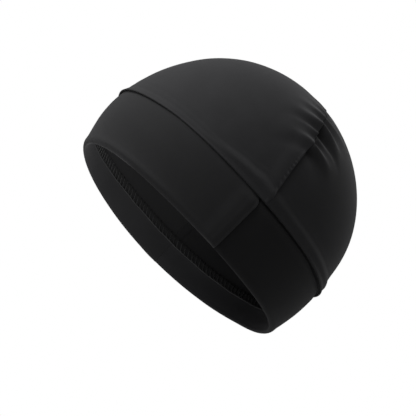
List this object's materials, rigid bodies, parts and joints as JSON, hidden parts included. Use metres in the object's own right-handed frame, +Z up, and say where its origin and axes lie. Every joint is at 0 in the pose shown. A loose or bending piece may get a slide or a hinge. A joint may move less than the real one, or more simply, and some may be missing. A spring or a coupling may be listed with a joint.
{
  "type": "helmet liner",
  "caption": "Close-fitting skull cap of dark stretch jersey, worn under a helmet: domed crown gathered at a cross seam, on a band hemmed inside",
  "frame": {"origin": "middle of the mouth, level with the rim's front and back", "axes": "+Z up through the crown, -Y to the wearer's front, +X to the wearer's left"},
  "size_m": [0.1628, 0.2026, 0.1491],
  "materials": {
    "crown_front": "smooth matt charcoal stretch jersey",
    "crown_back": "smooth matt charcoal stretch jersey",
    "band_front": "smooth matt charcoal stretch jersey, hemmed inside",
    "band_back": "smooth matt charcoal stretch jersey, hemmed inside"
  },
  "bodies": {
    "root": {"crown_front": "crown_front", "crown_back": "crown_back", "band_front": "band_front", "band_back": "band_back"}
  },
  "joints": []
}
